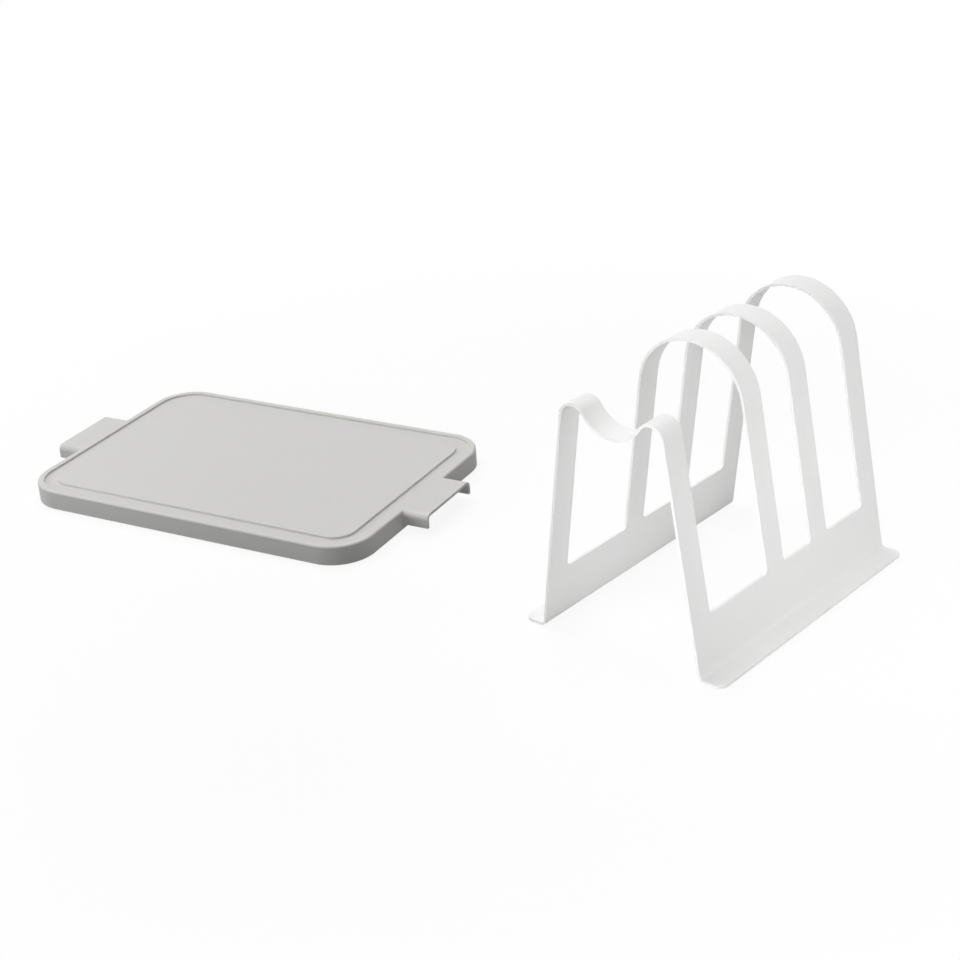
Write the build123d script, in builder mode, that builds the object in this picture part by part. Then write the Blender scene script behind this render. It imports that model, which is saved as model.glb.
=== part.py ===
"""Cutting board with its bent sheet stand, in millimetres.

Two loose things stand side by side on one surface. The stand is a single slotted steel
sheet: two leaning side panels with turned-out feet, three tall round hoops and a low
saddle in front. The board is one hollow moulding with a handle on each short side,
a juice groove round its top and soft feet plugged into its underside.

The origin is on the surface, in the middle of the rectangle that both things cover.
+Z points up, +X runs from the board to the stand, +Y runs from the saddle to the last hoop.
"""

import os
from math import asin, atan2, cos, hypot, radians, sin, tan

from build123d import *

os.makedirs("parts", exist_ok=True)

# Stand, a sheet folded across its width; its section's sizes are to the outer face
sheet = 2.0
stand_height = 200.0
foot_half_width = 67.5
foot_flange = 17.0
foot_bend_radius = 3.0
foot_corner_radius = 7.0
band_width = 20.0
slot_widths = (68.0, 34.5, 47.0)
sill_height = 41.0
sill_corner_radius = 4.0
hoop_radius = 44.0

# Saddle, the low front band: its humps below the hoops' tops, its dip below the humps
saddle_drop = 21.5
saddle_hump_radius = 11.0
saddle_dip_depth = 17.5
saddle_flank_lean = 30.0

# Pads stuck under the ends of the stand's feet
pad_thickness = 1.0
pad_width = 8.0
pad_length = 26.0
pad_corner_radius = 3.0
pad_end_gap = 12.0
pad_edge_gap = 2.0

# Board, a tray turned upside down
board_length = 320.0
board_width = 217.0
board_thickness = 16.0
board_corner_radius = 33.0
board_top_edge_radius = 1.8
board_rim_chamfer = 0.6
board_plate = 3.5
board_wall = 3.0
groove_rim = 5.5
groove_width = 10.8
groove_depth = 2.0
groove_floor_radius = 0.5
groove_lip_chamfer = 0.35

# Handles, channels on the board's short sides with their outer ends open
handle_reach = 22.5
handle_width = 67.0
handle_depth = 11.5
handle_plate = 2.4
handle_wall = 2.4
handle_edge_radius = 5.0

# Stiffening ribs under the board's plate
rib_thickness = 1.8
rib_rim_gap = 3.0
rib_column_pitch = 63.0
rib_row_pitch = 55.0
rib_columns = 4
rib_rows = 3

# Soft feet plugged into bosses under the board's plate
foot_radius = 6.0
foot_plug = 3.0
foot_proud = 1.0
foot_edge_chamfer = 0.6
foot_inset = 28.0
foot_clearance = 0.1
boss_wall = 2.2
boss_rim_gap = 1.0

# Where the board lies, from the middle of the stand
board_across = -416.0
board_along = -61.0
board_turn = 12.0


def half_extent(half_length, half_width, corner_radius, turn):
    """Half the extent along X of a rounded rectangle turned about its middle."""
    straight_length = (half_length - corner_radius) * abs(cos(radians(turn)))
    straight_width = (half_width - corner_radius) * abs(sin(radians(turn)))
    return straight_length + straight_width + corner_radius


def mirrored_path(corners):
    """A path's corners from the right foot to the middle, carried on to the left foot."""
    return corners + [(-x, z) for x, z in reversed(corners) if x > 0]


# A leg's outer face runs straight from its foot to the round of the hoop
hoop_centre_height = stand_height - hoop_radius
leg_lean = asin(hoop_radius / hypot(foot_half_width, hoop_centre_height)) - atan2(
    foot_half_width, hoop_centre_height
)
leg_slope = tan(leg_lean)


def leg_face(height):
    """Distance of a leg's outer face from the middle plane."""
    return foot_half_width + height * leg_slope


# Both things together are centred on the origin
foot_reach = foot_half_width + foot_flange
handle_end = board_length / 2 + handle_reach
stand_depth = (len(slot_widths) + 1) * band_width + sum(slot_widths)
board_half_x = max(
    half_extent(board_length / 2, board_width / 2, board_corner_radius, board_turn),
    half_extent(handle_end, handle_width / 2, 0, board_turn),
)
board_half_y = max(
    half_extent(board_width / 2, board_length / 2, board_corner_radius, board_turn),
    half_extent(handle_width / 2, handle_end, 0, board_turn),
)
stand_x = (board_half_x - board_across - foot_reach) / 2
stand_y = (board_half_y - board_along - stand_depth / 2) / 2
stand_front = (stand_x, stand_y - stand_depth / 2, pad_thickness)

# Local y points up on both planes of the stand; the board's planes turn with it
section_plane = Plane(origin=stand_front, x_dir=(-1, 0, 0), z_dir=(0, 1, 0))
side_plane = Plane(origin=stand_front, x_dir=(0, 1, 0), z_dir=(1, 0, 0))
board_rim = Plane(
    origin=(stand_x + board_across, stand_y + board_along, foot_proud),
    x_dir=(cos(radians(board_turn)), sin(radians(board_turn)), 0),
    z_dir=(0, 0, 1),
)
board_top = board_rim.offset(board_thickness)

foot_corners = [(foot_reach, sheet), (leg_face(sheet), sheet)]

# A hoop's two legs, carried on upwards, would meet above its round
hoop_apex = (0, -foot_half_width / leg_slope)

# The saddle's flank touches the round of the hump and the round of the dip
saddle_height = stand_height - saddle_drop
saddle_dip_height = saddle_height - saddle_dip_depth
hump_height = saddle_height - saddle_hump_radius
hump_x = leg_face(hump_height) - saddle_hump_radius / cos(leg_lean)
flank_rise = sin(radians(saddle_flank_lean))
flank_run = cos(radians(saddle_flank_lean))
flank_x = hump_x - saddle_hump_radius * flank_run
flank_height = hump_height + saddle_hump_radius * flank_rise
saddle_dip_radius = (
    hump_x * flank_run - (hump_height - saddle_dip_height) * flank_rise - saddle_hump_radius
) / (1 - flank_rise)
flank_slope = flank_run / flank_rise
dip_corner_height = flank_height - flank_x * flank_slope
hump_corner_x = leg_face(dip_corner_height) / (1 - leg_slope * flank_slope)
hump_corner_height = dip_corner_height + hump_corner_x * flank_slope
saddle_corners = [(hump_corner_x, hump_corner_height), (0, dip_corner_height)]

with BuildPart() as stand_frame:
    # Hoops: one fold over the whole depth behind the front band
    with BuildSketch(section_plane.offset(band_width)):
        with BuildLine():
            FilletPolyline(
                mirrored_path(foot_corners + [hoop_apex]),
                radius=[foot_bend_radius, hoop_radius, foot_bend_radius],
            )
            offset(amount=sheet, side=Side.LEFT)
        make_face()
    extrude(amount=stand_depth - band_width)

    # Slots between the bands, closed below by the side panels
    with BuildSketch(side_plane):
        slot_start = band_width
        for slot_width in slot_widths:
            with Locations((slot_start, sill_height)):
                Rectangle(slot_width, stand_height, align=(Align.MIN, Align.MIN))
            slot_start += slot_width + band_width
        fillet(vertices().group_by(Axis.Y)[0], sill_corner_radius)
    extrude(amount=foot_reach, both=True, mode=Mode.SUBTRACT)

    # Saddle: the same feet and legs, folded back down between two humps
    with BuildSketch(section_plane):
        with BuildLine():
            FilletPolyline(
                mirrored_path(foot_corners + saddle_corners),
                radius=[
                    foot_bend_radius,
                    saddle_hump_radius,
                    saddle_dip_radius,
                    saddle_hump_radius,
                    foot_bend_radius,
                ],
            )
            offset(amount=sheet, side=Side.LEFT)
        make_face()
    extrude(amount=band_width)

    # Free corners of the feet
    foot_ends = edges().filter_by(Axis.Z).group_by(Axis.X)
    fillet(foot_ends[0] + foot_ends[-1], foot_corner_radius)

stand_frame.part.label = "stand_frame"
export_step(stand_frame.part, "parts/stand_frame.step")

# One pad under each end of both feet
for side, side_name in ((-1, "left"), (1, "right")):
    for end, end_name in ((-1, "front"), (1, "back")):
        pad_x = stand_x + side * (foot_reach - pad_edge_gap - pad_width / 2)
        pad_y = stand_y + end * (stand_depth / 2 - pad_end_gap - pad_length / 2)
        with BuildPart() as stand_pad:
            with BuildSketch():
                with Locations((pad_x, pad_y)):
                    RectangleRounded(pad_width, pad_length, pad_corner_radius)
            extrude(amount=pad_thickness)
        pad_name = f"stand_pad_{end_name}_{side_name}"
        stand_pad.part.label = pad_name
        export_step(stand_pad.part, f"parts/{pad_name}.step")

foot_spots = GridLocations(board_length - 2 * foot_inset, board_width - 2 * foot_inset, 2, 2)
socket_radius = foot_radius + foot_clearance
boss_radius = socket_radius + boss_wall
inner_corner_radius = board_corner_radius - board_wall
handle_section = Plane(
    origin=board_top.from_local_coords((-handle_end, 0, 0)),
    x_dir=board_rim.y_dir,
    z_dir=board_rim.x_dir,
)

with BuildPart() as cutting_board:
    # Slab with its top edge rounded and its rim eased, before the handles join it
    with BuildSketch(board_rim):
        RectangleRounded(board_length, board_width, board_corner_radius)
    extrude(amount=board_thickness)
    fillet(faces().sort_by(Axis.Z)[-1].edges(), board_top_edge_radius)
    chamfer(faces().sort_by(Axis.Z)[0].edges(), board_rim_chamfer)

    # Both handles at once: one bar right through the slab, flush with its top
    with BuildSketch(handle_section):
        with Locations((0, -handle_depth / 2)):
            Rectangle(handle_width, handle_depth)
        fillet(vertices().group_by(Axis.Y)[-1], handle_edge_radius)
    extrude(amount=2 * handle_end)

    # The tray's hollow
    with BuildSketch(board_rim):
        RectangleRounded(
            board_length - 2 * board_wall, board_width - 2 * board_wall, inner_corner_radius
        )
    extrude(amount=board_thickness - board_plate, mode=Mode.SUBTRACT)

    # The handles' hollows, open below and at the outer ends
    handle_inner_radius = handle_edge_radius - handle_wall
    for handle_start in (0, 2 * handle_end - handle_reach):
        with BuildSketch(handle_section.offset(handle_start)):
            with Locations((0, -handle_plate)):
                Rectangle(
                    handle_width - 2 * handle_wall, handle_depth, align=(Align.CENTER, Align.MAX)
                )
            fillet(vertices().group_by(Axis.Y)[-1], handle_inner_radius)
        extrude(amount=handle_reach, mode=Mode.SUBTRACT)

    # Ribs, held inside the walls
    with BuildSketch(board_rim.offset(rib_rim_gap)):
        with GridLocations(rib_column_pitch, 0, rib_columns, 1):
            Rectangle(rib_thickness, board_width)
        with GridLocations(0, rib_row_pitch, 1, rib_rows):
            Rectangle(board_length, rib_thickness)
        RectangleRounded(
            board_length - board_wall,
            board_width - board_wall,
            board_corner_radius - board_wall / 2,
            mode=Mode.INTERSECT,
        )
    extrude(amount=board_thickness - board_plate - rib_rim_gap)

    # Bosses from the plate down, each with a socket for a foot
    with BuildSketch(board_rim.offset(boss_rim_gap)):
        with foot_spots:
            Circle(boss_radius)
    extrude(amount=board_thickness - board_plate - boss_rim_gap)
    with BuildSketch(board_rim):
        with foot_spots:
            Circle(socket_radius)
    extrude(amount=boss_rim_gap + foot_plug, mode=Mode.SUBTRACT)

    # Juice groove, a shallow flat channel that follows the rim
    with BuildSketch(board_top):
        for inset, cut in ((groove_rim, Mode.ADD), (groove_rim + groove_width, Mode.SUBTRACT)):
            RectangleRounded(
                board_length - 2 * inset,
                board_width - 2 * inset,
                board_corner_radius - inset,
                mode=cut,
            )
    extrude(amount=-groove_depth, mode=Mode.SUBTRACT)
    top_height = board_top.origin.Z
    floor_height = top_height - groove_depth
    groove_floor = faces().filter_by_position(Axis.Z, floor_height, floor_height)
    fillet(groove_floor.edges(), groove_floor_radius)
    rim, middle = faces().filter_by_position(Axis.Z, top_height, top_height).sort_by(SortBy.AREA)
    chamfer(middle.edges() + rim.inner_wires().edges(), groove_lip_chamfer)

cutting_board.part.label = "cutting_board"
export_step(cutting_board.part, "parts/cutting_board.step")

# Feet: a plug in each socket, standing proud of the rim
foot_height = foot_proud + boss_rim_gap + foot_plug
spot_x = board_length / 2 - foot_inset
spot_y = board_width / 2 - foot_inset
for side, side_name in ((-1, "left"), (1, "right")):
    for end, end_name in ((-1, "front"), (1, "back")):
        with BuildPart() as board_foot:
            with BuildSketch(board_rim.offset(-foot_proud)):
                with Locations((side * spot_x, end * spot_y)):
                    Circle(foot_radius)
            extrude(amount=foot_height)
            chamfer(faces().sort_by(Axis.Z)[0].edges(), foot_edge_chamfer)
        foot_name = f"board_foot_{end_name}_{side_name}"
        board_foot.part.label = foot_name
        export_step(board_foot.part, f"parts/{foot_name}.step")
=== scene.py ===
"""Looks for a cutting board lying beside its bent sheet stand, in metres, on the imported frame."""

from math import cos, radians, sin

import bmesh
import bpy
from mathutils import Matrix, Vector


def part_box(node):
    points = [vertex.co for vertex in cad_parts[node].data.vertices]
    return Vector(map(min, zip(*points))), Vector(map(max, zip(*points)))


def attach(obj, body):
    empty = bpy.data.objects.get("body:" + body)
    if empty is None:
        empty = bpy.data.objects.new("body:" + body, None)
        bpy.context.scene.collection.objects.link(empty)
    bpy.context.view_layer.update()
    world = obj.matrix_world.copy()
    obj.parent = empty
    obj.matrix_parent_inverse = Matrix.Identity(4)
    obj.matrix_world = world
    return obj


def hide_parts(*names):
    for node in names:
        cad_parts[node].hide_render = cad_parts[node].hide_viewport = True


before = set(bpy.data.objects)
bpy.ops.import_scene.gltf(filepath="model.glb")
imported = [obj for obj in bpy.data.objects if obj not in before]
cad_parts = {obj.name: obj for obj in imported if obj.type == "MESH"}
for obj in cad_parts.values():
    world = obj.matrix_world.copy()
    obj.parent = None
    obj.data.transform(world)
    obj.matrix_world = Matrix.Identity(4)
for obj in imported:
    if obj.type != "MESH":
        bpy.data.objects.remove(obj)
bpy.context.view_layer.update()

# Camera, from the middle of the stand; its slide aside is a share of its distance
camera_azimuth = radians(42.868)
camera_elevation = radians(25.5171)
camera_roll = radians(-4.258)
camera_distance = 1.3953
camera_aside = (0.1173, 0.0098)
camera_lens = 75.0
camera_sensor = 36.0

# Strength of the world as light; to the eye it is white
world_light = 0.11

# Finished pieces: their edge rounds, and the limits that their copies are merged and rounded by
sheet_edge_round = 0.00035
board_edge_round = 0.00025
sharp_angle = radians(50)
flat_angle = radians(0.4)
merge_distance = 1e-6

# Cloudiness shared by every finish: its scale, its share of the tint and its reach in roughness
cloud_scale = 22.0
cloud_share = 0.7
gloss_spread = 0.08

# Floor, to the eye: near the things a share of it is shadow, further off it is white
floor_size = 12.0
shadow_share = 0.1
shadow_inner = 0.3
shadow_outer = 0.7

# Floor, to the light: pale in a spot beside the stand, dark elsewhere
spot_across = 0.12
spot_along = -0.02
spot_inner = 0.17
spot_outer = 0.27
pale_floor = 0.8
dark_floor = 0.15


class Signal:
    """A node's output, on which arithmetic adds Math nodes."""

    def __init__(self, finish, socket):
        self.finish = finish
        self.socket = socket

    def math(self, operation, first, second):
        return self.finish.add("ShaderNodeMath", {"operation": operation}, {0: first, 1: second})

    def __add__(self, other):
        return self.math("ADD", self, other)

    def __radd__(self, other):
        return self.math("ADD", other, self)

    def __mul__(self, other):
        return self.math("MULTIPLY", self, other)

    def __rmul__(self, other):
        return self.math("MULTIPLY", other, self)


class Finish:
    """A node tree that is filled through one method."""

    def __init__(self, tree):
        self.tree = tree
        tree.nodes.clear()

    def add(self, kind, settings=None, sockets=None, output=0):
        """Adds a node with its settings first, then its sockets' values or links."""
        node = self.tree.nodes.new(kind)
        for key, value in (settings or {}).items():
            setattr(node, key, value)
        for key, value in (sockets or {}).items():
            if isinstance(value, Signal):
                self.tree.links.new(value.socket, node.inputs[key])
            else:
                node.inputs[key].default_value = value
        return Signal(self, node.outputs[output]) if node.outputs else node

    def blend(self, factor, first, second):
        """The first colour where the factor is 0, the second where it is 1."""
        return self.add(
            "ShaderNodeMix", {"data_type": "RGBA"}, {"Factor": factor, 6: first, 7: second}, output=2
        )


def new_material(name):
    material = bpy.data.materials.new(name)
    material.use_nodes = True
    return material, Finish(material.node_tree)


def scaled(colour, share):
    """A colour made darker or lighter, as a socket takes it."""
    return tuple(min(1.0, channel * share) for channel in colour) + (1.0,)


def grey(level):
    return (level, level, level, 1.0)


def moulded(name, colour, roughness, fleck, grain_size, grain_depth):
    """A satin finish: a fine grain in relief, and a faint cloudiness in colour and gloss."""
    material, finish = new_material(name)
    place = finish.add("ShaderNodeTexCoord", output="Object")
    cloud = finish.add(
        "ShaderNodeTexNoise",
        sockets={"Vector": place, "Scale": cloud_scale, "Detail": 3.0, "Roughness": 0.55},
    )
    grain = finish.add(
        "ShaderNodeTexNoise",
        sockets={"Vector": place, "Scale": 1 / grain_size, "Detail": 2.0, "Roughness": 0.6},
    )
    tint = finish.blend(
        cloud * cloud_share + grain * (1 - cloud_share),
        scaled(colour, 1 - fleck),
        scaled(colour, 1 + fleck),
    )
    relief = finish.add(
        "ShaderNodeBump", sockets={"Strength": 1.0, "Distance": grain_depth, "Height": grain}
    )
    surface = finish.add(
        "ShaderNodeBsdfPrincipled",
        sockets={
            "Base Color": tint,
            "Roughness": roughness - gloss_spread / 2 + cloud * gloss_spread,
            "Normal": relief,
        },
    )
    finish.add("ShaderNodeOutputMaterial", sockets={"Surface": surface})
    return material


white_coat = moulded(
    "white_coat", (0.9, 0.9, 0.895), roughness=0.5, fleck=0.006, grain_size=0.0014, grain_depth=0.00002
)
board_plastic = moulded(
    "board_plastic",
    (0.64, 0.635, 0.62),
    roughness=0.45,
    fleck=0.012,
    grain_size=0.0007,
    grain_depth=0.00003,
)
pad_rubber = moulded(
    "pad_rubber", (0.8, 0.8, 0.79), roughness=0.75, fleck=0.01, grain_size=0.0005, grain_depth=0.00004
)
foot_rubber = moulded(
    "foot_rubber", (0.45, 0.45, 0.44), roughness=0.8, fleck=0.02, grain_size=0.0005, grain_depth=0.00004
)


def sharp_edges(work):
    return [
        edge for edge in work.edges if len(edge.link_faces) == 2 and edge.calc_face_angle() > sharp_angle
    ]


def finished_copy(node_name, piece_name, edge_round, material, body):
    """A copy of a CAD node, merged to whole faces, with its sharp edges rounded."""
    work = bmesh.new()
    work.from_mesh(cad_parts[node_name].data)
    bmesh.ops.remove_doubles(work, verts=work.verts, dist=merge_distance)
    bmesh.ops.dissolve_limit(
        work, angle_limit=flat_angle, verts=work.verts, edges=work.edges, delimit={"NORMAL"}
    )
    bmesh.ops.bevel(
        work,
        geom=sharp_edges(work),
        offset=edge_round,
        offset_type="OFFSET",
        affect="EDGES",
        segments=2,
        profile=0.5,
        material=-1,
        clamp_overlap=True,
    )
    for face in work.faces:
        face.smooth = True
    for edge in sharp_edges(work):
        edge.smooth = False
    mesh = bpy.data.meshes.new(piece_name)
    work.to_mesh(mesh)
    work.free()
    mesh.materials.append(material)
    piece = bpy.data.objects.new(piece_name, mesh)
    bpy.context.scene.collection.objects.link(piece)
    weighted = piece.modifiers.new("weighted", "WEIGHTED_NORMAL")
    weighted.keep_sharp = True
    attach(piece, body)
    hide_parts(node_name)
    return piece


stand_sheet = finished_copy("stand_frame", "stand_sheet", sheet_edge_round, white_coat, "stand")
board_moulding = finished_copy("cutting_board", "board_moulding", board_edge_round, board_plastic, "board")

# Pads and feet keep their own meshes
for name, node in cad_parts.items():
    if name.startswith("stand_pad"):
        node.data.materials.clear()
        node.data.materials.append(pad_rubber)
    elif name.startswith("board_foot"):
        node.data.materials.clear()
        node.data.materials.append(foot_rubber)

# Camera: aimed at the middle of the stand, then slid aside and rolled
stand_low, stand_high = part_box("stand_frame")
target = (stand_low + stand_high) / 2
look = Vector(
    (
        -sin(camera_azimuth) * cos(camera_elevation),
        cos(camera_azimuth) * cos(camera_elevation),
        -sin(camera_elevation),
    )
)
level = Vector((cos(camera_azimuth), sin(camera_azimuth), 0))
across = (Matrix.Rotation(-camera_roll, 3, look) @ level).normalized()
upward = across.cross(look)
camera_data = bpy.data.cameras.new("camera")
camera_data.lens = camera_lens
camera_data.sensor_width = camera_sensor
camera_data.clip_start = 0.01
camera = bpy.data.objects.new("camera", camera_data)
bpy.context.scene.collection.objects.link(camera)
camera_place = target - (across * camera_aside[0] + upward * camera_aside[1] + look) * camera_distance
camera_turn = Matrix((across, upward, -look)).transposed().to_4x4()
camera.matrix_world = Matrix.Translation(camera_place) @ camera_turn
bpy.context.scene.camera = camera


def soft_lamp(name, place, aim, size, power, beam=180.0):
    """A soft box that faces a point, with its beam held in by a grid where it is under 180 degrees."""
    data = bpy.data.lights.new(name, "AREA")
    data.shape = "RECTANGLE"
    data.size, data.size_y = size
    data.energy = power
    data.spread = radians(beam)
    lamp = bpy.data.objects.new(name, data)
    bpy.context.scene.collection.objects.link(lamp)
    lamp.location = place
    lamp.rotation_mode = "QUATERNION"
    lamp.rotation_quaternion = (Vector(aim) - Vector(place)).to_track_quat("-Z", "Y")
    lamp.visible_camera = False


# Lamps: a key over the board, one on the stand's tops, four on its sides and edges, one on the board's edge
soft_lamp("top_box", place=(-0.6, 0.15, 1.4), aim=(-0.4, 0.0, 0.0), size=(1.5, 1.5), power=19.3)
soft_lamp(
    "stand_top_box", place=(0.22, 0.05, 1.6), aim=(0.3, 0.05, 0.0), size=(0.3, 0.5), power=0.06, beam=30
)
soft_lamp("side_box", place=(0.6, 0.18, 0.24), aim=(0.24, 0.08, 0.12), size=(0.4, 0.3), power=0.5)
soft_lamp(
    "front_box", place=(0.42, -0.58, 0.2), aim=(0.35, 0.0, 0.12), size=(0.3, 0.3), power=0.15, beam=50
)
soft_lamp(
    "right_front_box", place=(0.6, -0.46, 0.4), aim=(0.28, 0.06, 0.1), size=(0.3, 0.3), power=0.09, beam=44
)
soft_lamp(
    "low_front_box", place=(0.64, -0.4, 0.12), aim=(0.26, 0.05, 0.12), size=(0.3, 0.2), power=0.06, beam=44
)
soft_lamp("left_box", place=(-0.42, -0.9, 0.3), aim=(-0.1, 0.0, 0.05), size=(0.6, 0.4), power=3.2)


def eye_rays(finish):
    """1 where the camera, a mirror or a clear thing looks, 0 where light is gathered."""
    seen = finish.add("ShaderNodeLightPath", output="Is Camera Ray")
    outlets = seen.socket.node.outputs
    mirrored = Signal(finish, outlets["Is Glossy Ray"])
    through = Signal(finish, outlets["Is Transmission Ray"])
    return finish.add(
        "ShaderNodeMath", {"operation": "ADD", "use_clamp": True}, {0: seen + mirrored, 1: through}
    )


def ground_mask(finish, middle, inner, outer):
    """0 within the inner radius of a spot on the floor, 1 beyond the outer radius."""
    place = finish.add("ShaderNodeTexCoord", output="Object")
    gap = finish.add("ShaderNodeVectorMath", {"operation": "SUBTRACT"}, {0: place, 1: middle})
    radius = finish.add("ShaderNodeVectorMath", {"operation": "LENGTH"}, {0: gap}, output="Value")
    return finish.add(
        "ShaderNodeMapRange",
        {"interpolation_type": "SMOOTHSTEP"},
        {"Value": radius, "From Min": inner, "From Max": outer, "To Min": 0.0, "To Max": 1.0},
    )


# World: white to the eye, dim as light
world = bpy.data.worlds.new("studio")
world.use_nodes = True
bpy.context.scene.world = world
air = Finish(world.node_tree)
background = air.add(
    "ShaderNodeBackground",
    sockets={"Color": grey(1.0), "Strength": world_light + eye_rays(air) * (1 - world_light)},
)
air.add("ShaderNodeOutputWorld", sockets={"Surface": background})

# Floor: white to the eye with a faint shadow near the things, a plain reflector to light
bpy.ops.mesh.primitive_plane_add(size=floor_size)
floor = bpy.context.object
floor.name = "floor"
floor_paint, plaster = new_material("floor_paint")
shadowed = plaster.add("ShaderNodeBsdfDiffuse", sockets={"Color": grey(1.0)})
white = plaster.add("ShaderNodeEmission", sockets={"Color": grey(1.0), "Strength": 1.0})
far_off = ground_mask(plaster, (0.0, 0.0, 0.0), shadow_inner, shadow_outer)
eye = plaster.add(
    "ShaderNodeMixShader", sockets={0: 1 - shadow_share + far_off * shadow_share, 1: shadowed, 2: white}
)
pale_spot = (target.x + spot_across, target.y + spot_along, 0.0)
beside_stand = ground_mask(plaster, pale_spot, spot_inner, spot_outer)
bounce = plaster.blend(beside_stand, grey(pale_floor), grey(dark_floor))
lit = plaster.add("ShaderNodeBsdfDiffuse", sockets={"Color": bounce})
surface = plaster.add("ShaderNodeMixShader", sockets={0: eye_rays(plaster), 1: lit, 2: eye})
plaster.add("ShaderNodeOutputMaterial", sockets={"Surface": surface})
floor.data.materials.append(floor_paint)

bpy.context.scene.view_settings.view_transform = "Standard"
